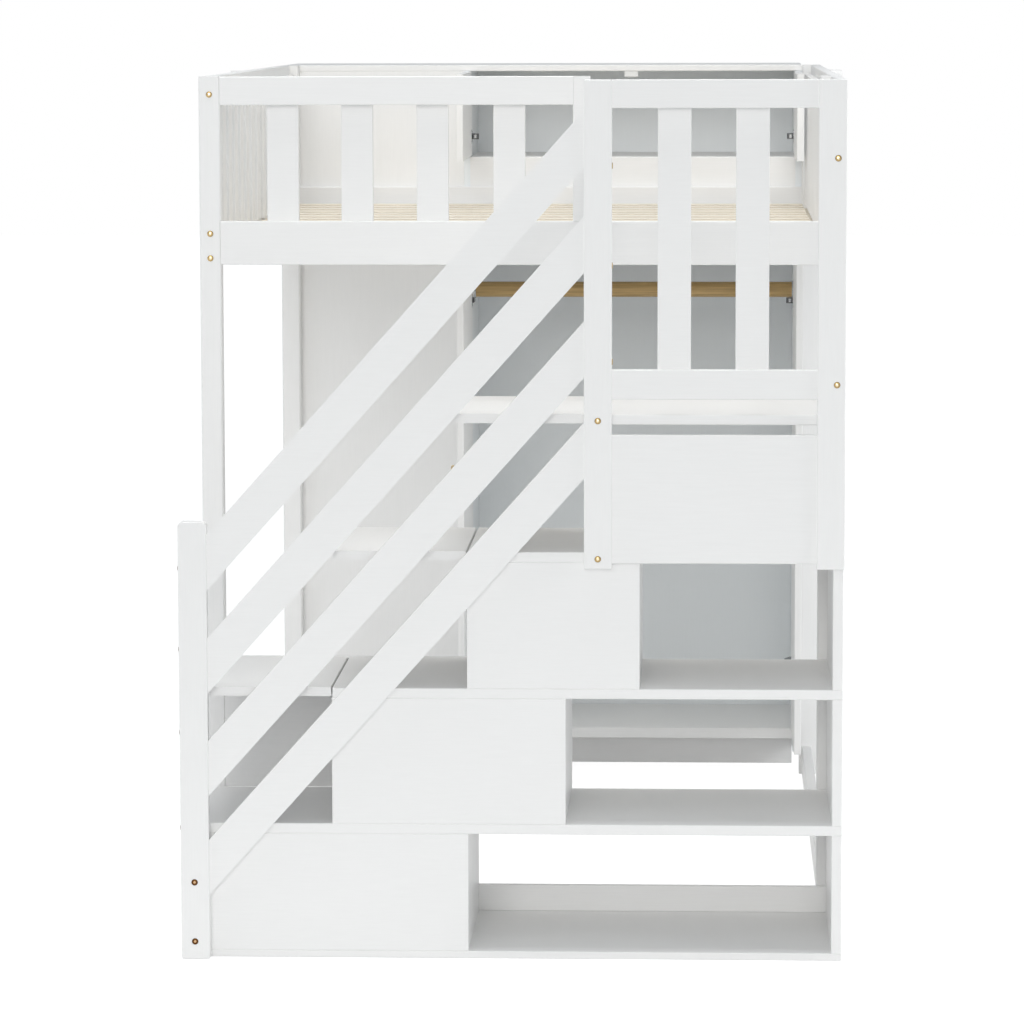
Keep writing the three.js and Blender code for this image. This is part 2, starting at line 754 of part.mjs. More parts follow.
// One wardrobe door, shown opened square to the front, with its cups and any knob.
function addDoor(wardrobe, name, onLeft, sizes) {
  const edge = doorThick / 2 + axisClear;
  const leaf = new THREE.Group();
  leaf.position.set(onLeft ? leftAxisX : rightAxisX, doorAxisY, 0);
  const half = doorThick / 2;
  const panel = board([-half, half], [edge - doorWidth, edge], [sizes.low, sizes.high], "z");
  addPart(leaf, name, whitePaint, hingedLeaf(panel, doorThick, seatsOnDoor(onLeft, sizes.hinges)));
  if (sizes.knob) {
    const outward = onLeft ? -1 : 1;
    const knob = doorKnob().rotateY(outward * Math.PI / 2);
    knob.translate(outward * half, edge - doorWidth + knobFromEdge, knobHeight);
    addPart(leaf, `${name}_knob`, brass, knob);
  }
  wardrobe.add(leaf);
}

// The arms of every door hinge on one side of the opening.
function doorArms(onLeft) {
  const axisX = onLeft ? leftAxisX : rightAxisX;
  const faceAt = onLeft ? dividerRight - axisX : axisX - openingRight;
  const heights = [...lowerHingeHeights, ...upperHingeHeights];
  const arms = seatsOnDoor(onLeft, heights)(hingeArm(doorThick, faceAt));
  return arms.map((arm) => arm.translate(axisX, doorAxisY, 0));
}

// The whole object
const stair = new THREE.Group();
addFloorShelf(stair);
addPart(stair, "tread_board_1", whitePaint, treadBoard(1));
addTreadWithFlap(stair, 2, "tread_board_2");
addTreadWithFlap(stair, 3, "tread_board_3");
addTreadWithFlap(stair, 4, "landing_board");
addLowerBox(stair);
addMiddleBox(stair);
addUpperBox(stair);
addLandingPanel(stair);
addEndPanels(stair);
addRearMembers(stair);
addHandrailFrame(stair);
addLandingGuard(stair);

const bed = new THREE.Group();
bed.position.y = stairDepth;
addBedPosts(bed);
addBedRails(bed);
addSlatBase(bed);
addFrontGuard(bed);
addSideGuards(bed);

const wardrobe = new THREE.Group();
wardrobe.position.y = stairDepth + bedLength;
addCarcass(wardrobe, [...doorArms(true), rodSocket(true)], [...doorArms(false), rodSocket(false)]);
addPlinth(wardrobe);
addHangingRod(wardrobe);
addCatch(wardrobe);
addDoor(wardrobe, "lower_left_door", true, lowerDoor);
addDoor(wardrobe, "lower_right_door", false, lowerDoor);
addDoor(wardrobe, "upper_left_door", true, upperDoor);
addDoor(wardrobe, "upper_right_door", false, upperDoor);

const assembly = new THREE.Group();
assembly.add(stair, bed, wardrobe);
const rearmost = stairDepth + bedLength + wardrobeDepth;
assembly.position.set(-bedWidth / 2, (framePostThick - rearmost) / 2, 0);

const loft = new THREE.Group();
loft.add(assembly);

export default loft;
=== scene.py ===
"""Looks, studio and camera for a loft bed with a box stair and a wardrobe behind its head end."""

import logging
import math
from collections.abc import Iterable, Sequence
from dataclasses import dataclass, field
from enum import Enum

import bmesh
import bpy
from mathutils import Matrix, Vector

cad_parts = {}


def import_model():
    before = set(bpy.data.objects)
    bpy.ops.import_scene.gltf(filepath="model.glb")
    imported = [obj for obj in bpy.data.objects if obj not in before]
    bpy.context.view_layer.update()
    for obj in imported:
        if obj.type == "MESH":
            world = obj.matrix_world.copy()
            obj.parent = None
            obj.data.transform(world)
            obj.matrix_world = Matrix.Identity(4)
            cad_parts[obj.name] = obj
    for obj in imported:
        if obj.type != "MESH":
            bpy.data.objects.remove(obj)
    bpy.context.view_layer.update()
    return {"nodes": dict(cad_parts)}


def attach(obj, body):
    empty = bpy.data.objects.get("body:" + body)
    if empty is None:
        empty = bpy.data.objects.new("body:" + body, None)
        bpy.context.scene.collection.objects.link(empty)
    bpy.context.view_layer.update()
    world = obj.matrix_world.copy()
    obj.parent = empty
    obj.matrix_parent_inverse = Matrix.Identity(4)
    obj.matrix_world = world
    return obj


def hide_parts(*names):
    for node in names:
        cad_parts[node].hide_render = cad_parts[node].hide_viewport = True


LOG = logging.getLogger("loft_bed")
SHARP_ANGLE = math.radians(35.0)

# All sizes are in millimetres, measured from the bed's left side, the stair's front plane and
# the floor. These two lengths move that zero to the middle of the whole object.
MM = 0.001
MIDDLE_X = 724.0
MIDDLE_Y = 1438.0
FRAME_BODY = "frame"

# The left and right sides of the wardrobe's opening.
DIVIDER_RIGHT = 508.0
OPENING_RIGHT = 1383.5

# The fineness of turned shapes, in faces round the axis.
FINE_STEPS = 48
CUP_STEPS = 40
BORE_STEPS = 32
BOLT_STEPS = 28
SMALL_STEPS = 20

# A colour blend's sockets share their names with its number sockets, so they go by index.
BLEND_FROM, BLEND_TO, BLEND_RESULT = 6, 7, 2

# New skins stand this far off the CAD faces under them, so that no two faces share a plane.
LIFT = 0.02

# The frame's bolts: the heads' size, the plane they are let into, and x and z of the front ones.
BOLT_RADIUS = 7.0
BOLT_PROUD = 2.2
POST_FRONT = -29.0
NEWEL_BOLTS = [(31.0, 39.2), (31.0, 170.6)]
UPPER_POST_BOLTS = [(913.0, 885.6), (913.0, 1185.5)]
RIGHT_POST_BOLTS = [(1427.0, 1264.0), (1427.0, 1750.0)]

# The same repeats along every axis, for patterns without a grain.
EVEN = Vector((1.0, 1.0, 1.0))

Profile = Sequence[tuple[float, float]]
Colour = tuple[float, float, float]


def place(x: float, y: float, z: float) -> Vector:
    """Turn a point of the drawing, in millimetres, into the scene's metres.

    Args:
        x: Distance to the right of the bed's left side.
        y: Distance behind the stair's front plane.
        z: Height above the floor.

    Returns:
        The point in metres.
    """
    return Vector(((x - MIDDLE_X) * MM, (y - MIDDLE_Y) * MM, z * MM))


class Grain(Enum):
    """The direction in which a board's grain runs."""

    X = 0
    Y = 1
    Z = 2


class Facing(Enum):
    """The direction in which a bolt head or a socket looks."""

    FRONT = "front"
    LEFT = "left"
    RIGHT = "right"

    def turn(self) -> Matrix:
        """Return the rotation that takes +Z to this direction."""
        quarter = math.pi / 2
        turns = {
            Facing.FRONT: Matrix.Rotation(quarter, 4, "X"),
            Facing.LEFT: Matrix.Rotation(-quarter, 4, "Y"),
            Facing.RIGHT: Matrix.Rotation(quarter, 4, "Y"),
        }
        return turns[self]


@dataclass
class NodeGraph:
    """A small helper round one material's node tree."""

    material: bpy.types.Material

    @classmethod
    def new(cls, name: str) -> "NodeGraph":
        """Make a named material with a Principled shader and nothing else.

        Args:
            name: The material's name.

        Returns:
            The helper round the new material.
        """
        material = bpy.data.materials.new(name)
        material.use_nodes = True
        return cls(material)

    @property
    def shader(self) -> bpy.types.Node:
        """Return the Principled shader."""
        return self.material.node_tree.nodes["Principled BSDF"]

    def add(self, kind: str, **values: float | str | bool) -> bpy.types.Node:
        """Add a node and set its own properties.

        Args:
            kind: The node's type name.
            **values: Properties of the node.

        Returns:
            The new node.
        """
        node = self.material.node_tree.nodes.new(kind)
        for key, value in values.items():
            setattr(node, key, value)
        return node

    def link(self, source: bpy.types.NodeSocket, target: bpy.types.NodeSocket) -> None:
        """Join two sockets.

        Args:
            source: The output.
            target: The input.
        """
        self.material.node_tree.links.new(source, target)

    def noise(self, stretch: Vector, scale: float, detail: float) -> bpy.types.NodeSocket:
        """Add a noise pattern over the object's own metres.

        Args:
            stretch: How often the pattern repeats along each axis, against scale.
            scale: Repeats in a metre.
            detail: Layers of finer noise.

        Returns:
            The noise value's socket.
        """
        where = self.add("ShaderNodeTexCoord")
        spread = self.add("ShaderNodeMapping")
        spread.inputs["Scale"].default_value = stretch
        self.link(where.outputs["Object"], spread.inputs["Vector"])
        noise = self.add("ShaderNodeTexNoise")
        noise.inputs["Scale"].default_value = scale
        noise.inputs["Detail"].default_value = detail
        self.link(spread.outputs["Vector"], noise.inputs["Vector"])
        return noise.outputs["Fac"]

    def tint(
        self, factor: bpy.types.NodeSocket, stops: Iterable[tuple[float, Colour]]
    ) -> bpy.types.NodeSocket:
        """Colour a value by a ramp.

        Args:
            factor: The value's socket.
            stops: Pairs of a position and a linear colour, in rising order.

        Returns:
            The colour's socket.
        """
        ramp = self.add("ShaderNodeValToRGB")
        elements = ramp.color_ramp.elements
        for index, (position, colour) in enumerate(stops):
            element = elements[index] if index < 2 else elements.new(position)
            element.position = position
            element.color = (*colour, 1.0)
        self.link(factor, ramp.inputs["Fac"])
        return ramp.outputs["Color"]

    def blend(
        self, factor: bpy.types.NodeSocket, source: bpy.types.NodeSocket, towards: Colour
    ) -> bpy.types.NodeSocket:
        """Blend a colour towards a plain one.

        Args:
            factor: How much of the plain colour shows, from 0 to 1.
            source: The first colour's socket.
            towards: The plain colour.

        Returns:
            The blended colour's socket.
        """
        node = self.add("ShaderNodeMix", data_type="RGBA")
        self.link(factor, node.inputs["Factor"])
        self.link(source, node.inputs[BLEND_FROM])
        node.inputs[BLEND_TO].default_value = (*towards, 1.0)
        return node.outputs[BLEND_RESULT]

    def larger(self, *values: bpy.types.NodeSocket) -> bpy.types.NodeSocket:
        """Return the largest of some values.

        Args:
            *values: Their sockets.

        Returns:
            The largest value's socket.
        """
        result = values[0]
        for value in values[1:]:
            node = self.add("ShaderNodeMath", operation="MAXIMUM")
            self.link(result, node.inputs[0])
            self.link(value, node.inputs[1])
            result = node.outputs[0]
        return result

    def relief(self, height: bpy.types.NodeSocket, strength: float, depth: float) -> None:
        """Give the surface a fine relief.

        Args:
            height: The height value's socket.
            strength: How strongly the relief shows, from 0 to 1.
            depth: Its depth in metres.
        """
        bump = self.add("ShaderNodeBump")
        bump.inputs["Strength"].default_value = strength
        bump.inputs["Distance"].default_value = depth
        self.link(height, bump.inputs["Height"])
        self.link(bump.outputs["Normal"], self.shader.inputs["Normal"])


def along(grain: Grain, lengthwise: float) -> Vector:
    """Return a stretch that is slow along the grain and even across it.

    Args:
        grain: The grain's direction.
        lengthwise: How often the pattern repeats along the grain, against across it.

    Returns:
        The stretch for NodeGraph.noise.
    """
    stretch = EVEN.copy()
    stretch[grain.value] = lengthwise
    return stretch


@dataclass(frozen=True)
class SatinPaint:
    """White satin paint over planed wood, with the grain just telling through."""

    name: str = "satin_paint"
    colour: Colour = (0.935, 0.932, 0.924)
    shade: Colour = (0.915, 0.912, 0.904)
    roughness: float = 0.42

    def material(self, grain: Grain) -> bpy.types.Material:
        """Return the paint for boards of one grain direction.

        Args:
            grain: The boards' grain direction.

        Returns:
            The material.
        """
        graph = NodeGraph.new(f"{self.name}_{grain.name.lower()}")
        fibres = graph.noise(along(grain, 0.035), scale=420.0, detail=3.0)
        colour = graph.tint(fibres, [(0.3, self.shade), (0.7, self.colour)])
        graph.link(colour, graph.shader.inputs["Base Color"])
        graph.shader.inputs["Roughness"].default_value = self.roughness
        graph.relief(fibres, strength=0.05, depth=0.0003)
        return graph.material


@dataclass(frozen=True)
class BarePine:
    """Pale pine with warm year rings, and painted shade on the slats' upright front and back
    faces.
    """

    pale: Colour = (0.94, 0.88, 0.77)
    ring: Colour = (0.9, 0.82, 0.69)
    knot: Colour = (0.5, 0.3, 0.16)
    # The painted shade colour for the slats' upright faces, where the gaps between slats lie in
    # shade.
    face_shade: Colour = (0.74, 0.65, 0.53)
    roughness: float = 0.62

    def material(self, grain: Grain) -> bpy.types.Material:
        """Return pine cut along one axis.

        Args:
            grain: The boards' grain direction.

        Returns:
            The material.
        """
        graph = NodeGraph.new(f"bare_pine_{grain.name.lower()}")
        rings = graph.noise(along(grain, 0.03), scale=60.0, detail=4.0)
        fine = graph.noise(along(grain, 0.02), scale=700.0, detail=2.0)
        wood = graph.tint(rings, [(0.38, self.pale), (0.5, self.ring), (0.62, self.pale)])
        knots = graph.noise(along(grain, 0.5), scale=9.0, detail=1.0)
        spots = graph.tint(knots, [(0.74, (0.0, 0.0, 0.0)), (0.8, (1.0, 1.0, 1.0))])
        planed = graph.blend(spots, wood, self.knot)
        # Painted shade: faces that look to the front or back blend towards the shade colour.
        shaded = graph.blend(self.shaded_faces(graph), planed, self.face_shade)
        graph.link(shaded, graph.shader.inputs["Base Color"])
        graph.shader.inputs["Roughness"].default_value = self.roughness
        graph.relief(fine, strength=0.25, depth=0.0005)
        return graph.material

    @staticmethod
    def shaded_faces(graph: NodeGraph) -> bpy.types.NodeSocket:
        """Find the slats' upright faces that look to the front or back, which get painted shade.

        Args:
            graph: The material's helper.

        Returns:
            A socket that gives 1 on faces looking to the front or back and 0 on the others.
        """
        where = graph.add("ShaderNodeTexCoord")
        parts = graph.add("ShaderNodeSeparateXYZ")
        graph.link(where.outputs["Normal"], parts.inputs["Vector"])
        size = graph.add("ShaderNodeMath", operation="ABSOLUTE")
        graph.link(parts.outputs["Y"], size.inputs[0])
        return size.outputs[0]


@dataclass(frozen=True)
class VarnishedRod:
    """The brown wood of the hanging rod."""

    light: Colour = (0.66, 0.45, 0.19)
    dark: Colour = (0.46, 0.3, 0.12)
    roughness: float = 0.4

    def material(self) -> bpy.types.Material:
        """Return the rod's wood."""
        graph = NodeGraph.new("varnished_rod")
        streaks = graph.noise(along(Grain.X, 0.04), scale=160.0, detail=4.0)
        colour = graph.tint(streaks, [(0.35, self.dark), (0.65, self.light)])
        graph.link(colour, graph.shader.inputs["Base Color"])
        graph.shader.inputs["Roughness"].default_value = self.roughness
        graph.relief(streaks, strength=0.15, depth=0.0004)
        return graph.material


@dataclass(frozen=True)
class Metal:
    """A plain metal with a fine, even surface."""

    name: str
    colour: Colour
    roughness: float

    def material(self) -> bpy.types.Material:
        """Return the metal."""
        graph = NodeGraph.new(self.name)
        graph.shader.inputs["Base Color"].default_value = (*self.colour, 1.0)
        graph.shader.inputs["Metallic"].default_value = 1.0
        graph.shader.inputs["Roughness"].default_value = self.roughness
        grit = graph.noise(EVEN, scale=900.0, detail=2.0)
        graph.relief(grit, strength=0.1, depth=0.0001)
        return graph.material


@dataclass(frozen=True)
class MouldedPlastic:
    """The white plastic of the door catch."""

    colour: Colour = (0.84, 0.84, 0.83)
    roughness: float = 0.45

    def material(self) -> bpy.types.Material:
        """Return the plastic."""
        graph = NodeGraph.new("moulded_plastic")
        graph.shader.inputs["Base Color"].default_value = (*self.colour, 1.0)
        graph.shader.inputs["Roughness"].default_value = self.roughness
        grit = graph.noise(EVEN, scale=1400.0, detail=2.0)
        graph.relief(grit, strength=0.08, depth=0.0001)
        return graph.material


STEEL = Metal("polished_steel", (0.62, 0.63, 0.64), 0.22)
# Painted shade: the hinge arms and covers are chrome, drawn in a dark steel that paints in the
# shade and dark reflections they show inside the wardrobe.
SHADE_DARK_STEEL = Metal("shaded_chrome", (0.15, 0.155, 0.16), 0.25)
BRASS = Metal("satin_brass", (0.5, 0.36, 0.17), 0.3)
# Painted highlight: a brighter, smoother brass for the bolt crowns, in place of the highlight at
# the middle of each domed head.
HIGHLIGHT_BRASS = Metal("highlight_brass", (0.95, 0.85, 0.6), 0.2)
BRONZE = Metal("bronze_bolt", (0.12, 0.05, 0.015), 0.35)
# Painted highlight: the same for the newel's bronze bolts.
HIGHLIGHT_BRONZE = Metal("highlight_bronze", (0.55, 0.36, 0.2), 0.3)
KNOB_BRASS = Metal("knob_brass", (0.88, 0.72, 0.46), 0.3)
# Painted shade: the white satin paint with a cool blue-grey tint in place of the cool shade inside
# the wardrobe, used on its back, divider and right side.
SHADE_TINT_PAINT = SatinPaint("shade_tinted_paint", (0.92, 0.95, 0.965), (0.905, 0.935, 0.95))


def add_object(name: str, data: bpy.types.ID | None) -> bpy.types.Object:
    """Add an object to the scene.

    Args:
        name: The object's name.
        data: Its mesh, lamp or camera.

    Returns:
        The new object.
    """
    new = bpy.data.objects.new(name, data)
    bpy.context.scene.collection.objects.link(new)
    return new


def mesh_piece(
    name: str,
    mesh: bmesh.types.BMesh,
    material: bpy.types.Material,
    body: str,
) -> bpy.types.Object:
    """Turn a bmesh into a piece of the object.

    Args:
        name: The piece's name.
        mesh: Its shape, which is freed.
        material: Its finish.
        body: The CAD body that it rides on.

    Returns:
        The new object.
    """
    bmesh.ops.recalc_face_normals(mesh, faces=mesh.faces)
    data = bpy.data.meshes.new(name)
    mesh.to_mesh(data)
    mesh.free()
    data.materials.append(material)
    data.shade_smooth()
    data.set_sharp_from_angle(angle=SHARP_ANGLE)
    piece = add_object(name, data)
    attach(piece, body)
    return piece


def add_lathe(mesh: bmesh.types.BMesh, profile: Profile, steps: int, seat: Matrix) -> None:
    """Add a closed turned shape round local Z.

    Args:
        mesh: The mesh that grows.
        profile: Radius and height in millimetres, from one end of the axis to the other.
        steps: Faces round the axis.
        seat: Where the shape goes, in metres.
    """
    rings = []
    for radius, height in profile:
        if radius == 0.0:
            rings.append([mesh.verts.new(seat @ Vector((0.0, 0.0, height * MM)))] * steps)
            continue
        ring = []
        for k in range(steps):
            angle = 2.0 * math.pi * k / steps
            spot = Vector((radius * math.cos(angle), radius * math.sin(angle), height)) * MM
            ring.append(mesh.verts.new(seat @ spot))
        rings.append(ring)
    for low, high in zip(rings, rings[1:]):
        for k in range(steps):
            after = (k + 1) % steps
            corners = dict.fromkeys((low[k], low[after], high[after], high[k]))
            if len(corners) > 2:
                mesh.faces.new(list(corners))


def add_plate(
    mesh: bmesh.types.BMesh, outline: Profile, low: float, high: float, seat: Matrix
) -> None:
    """Add a flat plate with the given outline in local X and Y.

    Args:
        mesh: The mesh that grows.
        outline: Corners in millimetres.
        low: The plate's lower Z in millimetres.
        high: The plate's upper Z in millimetres.
        seat: Where the plate goes, in metres.
    """
    bottom, lid = (
        [mesh.verts.new(seat @ (Vector((x, y, z)) * MM)) for x, y in outline] for z in (low, high)
    )
    mesh.faces.new(bottom)
    mesh.faces.new(lid)
    count = len(outline)
    for k in range(count):
        after = (k + 1) % count
        mesh.faces.new([bottom[k], bottom[after], lid[after], lid[k]])


def rectangle(x_low: float, x_high: float, y_low: float, y_high: float) -> Profile:
    """Return the corners of a rectangle for add_plate.

    Args:
        x_low: Its least X in millimetres.
        x_high: Its greatest X in millimetres.
        y_low: Its least Y in millimetres.
        y_high: Its greatest Y in millimetres.

    Returns:
        The four corners in order.
    """
    return [(x_low, y_low), (x_high, y_low), (x_high, y_high), (x_low, y_high)]


@dataclass(frozen=True)
class ConcealedHinge:
    """The steel of one concealed hinge, drawn round its pin.

    Local X points out of the leaf's inner face, local Y to the carcass and local Z along the pin.
    The housing's tail and the link's low, high and half are shares of the cover's size.
    """

    leaf_thick: float
    face_at: float
    cup_radius: float = 16.1
    flange_radius: float = 19.0
    flange_thick: float = 1.2
    cup_from_edge: float = 20.5
    axis_clear: float = 0.25
    pin_radius: float = 1.6
    eye_radius: float = 3.6
    floor_clear: float = 0.5
    arm_half: float = 5.0
    neck_half: float = 2.4
    arm_thick: float = 4.0
    arm_reach: float = 62.0
    plate_thick: float = 1.6
    plate_length: float = 36.0
    plate_wide: float = 44.0
    skin: float = 0.15
    lip_fall: float = 0.4
    lip_inset: float = 0.3
    eye_steps: int = 14
    arm_gap: float = 0.3
    tail: float = 4.0
    into_arm: float = 1.0
    screw_from_end: float = 6.0
    screw_sunk: float = 0.1
    screw_head: Profile = (
        (0.0, 0.0),
        (3.8, 0.0),
        (3.4, 1.2),
        (2.4, 1.7),
        (1.2, 1.8),
        (0.9, 0.9),
        (0.0, 0.9),
    )
    housing_start: float = 14.5
    housing_flat: float = 14.0
    housing_half: float = 7.5
    housing_chamfer: float = 2.0
    housing_tail: float = 0.4
    link_low: float = 0.25
    link_high: float = 0.72
    link_half: float = 0.62
    link_ahead: float = 0.5
    link_behind: float = 1.0

    def cup_centre(self) -> float:
        """Return the cup's middle along local Y."""
        return self.leaf_thick / 2 + self.axis_clear - self.cup_from_edge

    def add_cup(self, mesh: bmesh.types.BMesh, seat: Matrix) -> None:
        """Add the cup's lining with its flange, and the pin.

        Args:
            mesh: The mesh that grows.
            seat: The hinge's place, in metres.
        """
        face = self.leaf_thick / 2
        floor = -self.eye_radius - self.floor_clear
        inner = self.cup_radius - self.skin
        outward = Matrix.Rotation(math.pi / 2, 4, "Y")
        middle = seat @ Matrix.Translation(Vector((0.0, self.cup_centre() * MM, 0.0))) @ outward
        top = face + self.flange_thick + self.skin
        lining = [
            (0.0, floor - self.skin),
            (self.cup_radius, floor - self.skin),
            (self.cup_radius, face - self.skin),
            (self.flange_radius + self.skin, face - self.skin),
            (self.flange_radius + self.skin, top - self.lip_fall),
            (self.flange_radius - self.lip_inset, top),
            (inner, top),
            (inner, floor + self.skin),
            (0.0, floor + self.skin),
        ]
        add_lathe(mesh, lining, CUP_STEPS, middle)
        reach = math.sqrt(inner**2 - self.cup_centre() ** 2)
        pin = self.pin_radius + self.skin / 2
        rod = [(0.0, -reach), (pin, -reach), (pin, reach), (0.0, reach)]
        add_lathe(mesh, rod, SMALL_STEPS, seat)

    def clear_of_leaf(self) -> float:
        """Return the local X at which both the flange and the carcass face are passed."""
        return max(self.leaf_thick / 2 + self.flange_thick, self.face_at)

    def arm_outline(self) -> list[tuple[float, float]]:
        """Return the cranked arm's outline round the pin."""
        inner = self.clear_of_leaf() + self.arm_gap - self.skin
        outer = inner + self.arm_thick + 2 * self.skin
        neck = self.neck_half + self.skin
        radius = self.eye_radius + self.skin
        start = math.asin(neck / radius)
        eye = []
        for k in range(self.eye_steps + 1):
            angle = start + (2 * math.pi - 2 * start) * k / self.eye_steps
            eye.append((radius * math.cos(angle), radius * math.sin(angle)))
        corner = self.arm_thick / 2
        return [
            *eye,
            (outer - corner, -neck),
            (outer, -neck + corner),
            (outer, self.arm_reach + self.skin),
            (inner, self.arm_reach + self.skin),
            (inner, neck),
        ]

    def add_arm(self, mesh: bmesh.types.BMesh, seat: Matrix) -> None:
        """Add the arm, its cross-shaped plate and the plate's screws.

        Args:
            mesh: The mesh that grows.
            seat: The hinge's place, in metres.
        """
        half = self.arm_half + self.skin
        add_plate(mesh, self.arm_outline(), -half, half, seat)
        plate_end = self.arm_reach - self.tail
        middle = plate_end - self.plate_length / 2
        lowest = self.face_at + LIFT
        spine = self.plate_length / 2 + self.skin
        inside = self.clear_of_leaf() + self.into_arm
        spine_shape = rectangle(lowest, inside, middle - spine, middle + spine)
        add_plate(mesh, spine_shape, -half, half, seat)
        quarter = self.plate_length / 4 + self.skin
        top = self.face_at + self.plate_thick + self.skin
        wide = self.plate_wide / 2 + self.skin
        wing_shape = rectangle(lowest, top, middle - quarter, middle + quarter)
        add_plate(mesh, wing_shape, -wide, wide, seat)
        outward = Matrix.Rotation(math.pi / 2, 4, "Y")
        for side in (-1.0, 1.0):
            from_middle = side * (self.plate_wide / 2 - self.screw_from_end)
            spot = Vector((top - self.screw_sunk, middle, from_middle)) * MM
            turned = seat @ Matrix.Translation(spot) @ outward
            add_lathe(mesh, self.screw_head, SMALL_STEPS, turned)

    def add_housing(self, mesh: bmesh.types.BMesh, seat: Matrix, high: float) -> None:
        """Add the folded cover over the arm, sloping down to the arm's tail.

        Args:
            mesh: The mesh that grows.
            seat: The hinge's place, in metres.
            high: The cover's height over the carcass, in millimetres.
        """
        low = self.face_at + 2 * LIFT
        top = self.face_at + high
        start = self.housing_start
        outline = [
            (low, start),
            (top - self.housing_chamfer, start),
            (top, start + self.housing_chamfer),
            (top, start + self.housing_flat),
            (self.face_at + self.housing_tail * high, self.arm_reach),
            (low, self.arm_reach),
        ]
        add_plate(mesh, outline, -self.housing_half, self.housing_half, seat)

    def add_link(self, mesh: bmesh.types.BMesh, seat: Matrix, high: float) -> None:
        """Add the bright link plate seen at the cover's open front.

        Args:
            mesh: The mesh that grows.
            seat: The hinge's place, in metres.
            high: The cover's height over the carcass, in millimetres.
        """
        outline = rectangle(
            self.face_at + self.link_low * high,
            self.face_at + self.link_high * high,
            self.housing_start - self.link_ahead,
            self.housing_start + self.link_behind,
        )
        half = self.link_half * self.housing_half
        add_plate(mesh, outline, -half, half, seat)


def hinge_seat(out: Vector, back: Vector, at: Vector) -> Matrix:
    """Return the place of one hinge.

    Args:
        out: The direction out of the leaf's inner face.
        back: The direction to the carcass.
        at: The pin's middle, in metres.

    Returns:
        The matrix from the hinge's own axes to the scene.
    """
    third = out.cross(back)
    turn = Matrix((out, back, third)).transposed().to_4x4()
    return Matrix.Translation(at) @ turn


@dataclass
class WardrobeHinges:
    """The door hinges at both sides of the wardrobe's opening."""

    inset: float = 4.0
    axis_y: float = 2451.75
    lower: tuple[float, ...] = (300.0, 804.0, 1285.0)
    upper: tuple[float, ...] = (1727.0, 1848.0)
    tall_cover: float = 23.0
    low_cover: float = 8.0
    hinge: ConcealedHinge = field(default_factory=lambda: ConcealedHinge(18.0, 4.0))

    def seats(self, on_left: bool, heights: Iterable[float]) -> list[Matrix]:
        """Return the hinge places of one side.

        Args:
            on_left: Whether the hinges sit on the divider.
            heights: The hinge heights in millimetres.

        Returns:
            One matrix for each hinge.
        """
        inset = -self.inset if on_left else self.inset
        axis_x = (DIVIDER_RIGHT if on_left else OPENING_RIGHT) + inset
        out = Vector((1.0, 0.0, 0.0)) if on_left else Vector((-1.0, 0.0, 0.0))
        back = Vector((0.0, 1.0, 0.0))
        return [hinge_seat(out, back, place(axis_x, self.axis_y, z)) for z in heights]

    def build(self, steel: bpy.types.Material, dark: bpy.types.Material) -> None:
        """Make the cups of each door and the arms of each side.

        Args:
            steel: The finish of the cups and links.
            dark: The finish of the arms and their covers, a dark steel that paints in the shade
                and dark reflections on the chrome.
        """
        for side, on_left in (("left", True), ("right", False)):
            for level, heights in (("lower", self.lower), ("upper", self.upper)):
                cups = bmesh.new()
                for seat in self.seats(on_left, heights):
                    self.hinge.add_cup(cups, seat)
                door = f"{level}_{side}_door"
                mesh_piece(f"{door}_hinge_cups", cups, steel, door)
            arms = bmesh.new()
            covers = bmesh.new()
            links = bmesh.new()
            for heights in (self.lower, self.upper):
                high = self.low_cover if on_left and heights is self.lower else self.tall_cover
                for seat in self.seats(on_left, heights):
                    self.hinge.add_arm(arms, seat)
                    self.hinge.add_housing(covers, seat, high)
                    self.hinge.add_link(links, seat, high)
            mesh_piece(f"door_hinge_arms_{side}", arms, dark, FRAME_BODY)
            mesh_piece(f"door_hinge_covers_{side}", covers, dark, FRAME_BODY)
            mesh_piece(f"door_hinge_links_{side}", links, steel, FRAME_BODY)
        LOG.info("wardrobe hinges: %d in place", 2 * (len(self.lower) + len(self.upper)))


@dataclass
class HingeWalls:
    """The divider and the right side, drawn without the deep sockets of the CAD solids."""

    divider_left: float = 492.0
    divider_low: float = 117.0
    side_right: float = 1401.0
    side_low: float = 52.0
    front: float = 2465.0
    rear: float = 2889.0
    top: float = 1902.0
    ease: float = 1.0

    def build(self, paint: bpy.types.Material) -> None:
        """Make both walls.

        Args:
            paint: Their finish, the satin paint with a painted cool shade tint.
        """
        for node, left, right, low in (
            ("wardrobe_divider", self.divider_left, DIVIDER_RIGHT, self.divider_low),
            ("wardrobe_side_right", OPENING_RIGHT, self.side_right, self.side_low),
        ):
            mesh = bmesh.new()
            bmesh.ops.create_cube(mesh, size=1.0)
            size = Vector((right - left, self.rear - self.front, self.top - low)) * MM
            middle = (place(left, self.front, low) + place(right, self.rear, self.top)) / 2
            for vert in mesh.verts:
                vert.co = Vector(a * b for a, b in zip(vert.co, size)) + middle
            ease = self.ease * MM
            bmesh.ops.bevel(mesh, geom=mesh.edges[:], offset=ease, segments=2, affect="EDGES")
            wall = mesh_piece(f"{node}_board", mesh, paint, FRAME_BODY)
            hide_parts(node)
        LOG.info("wardrobe walls: 2 redrawn")


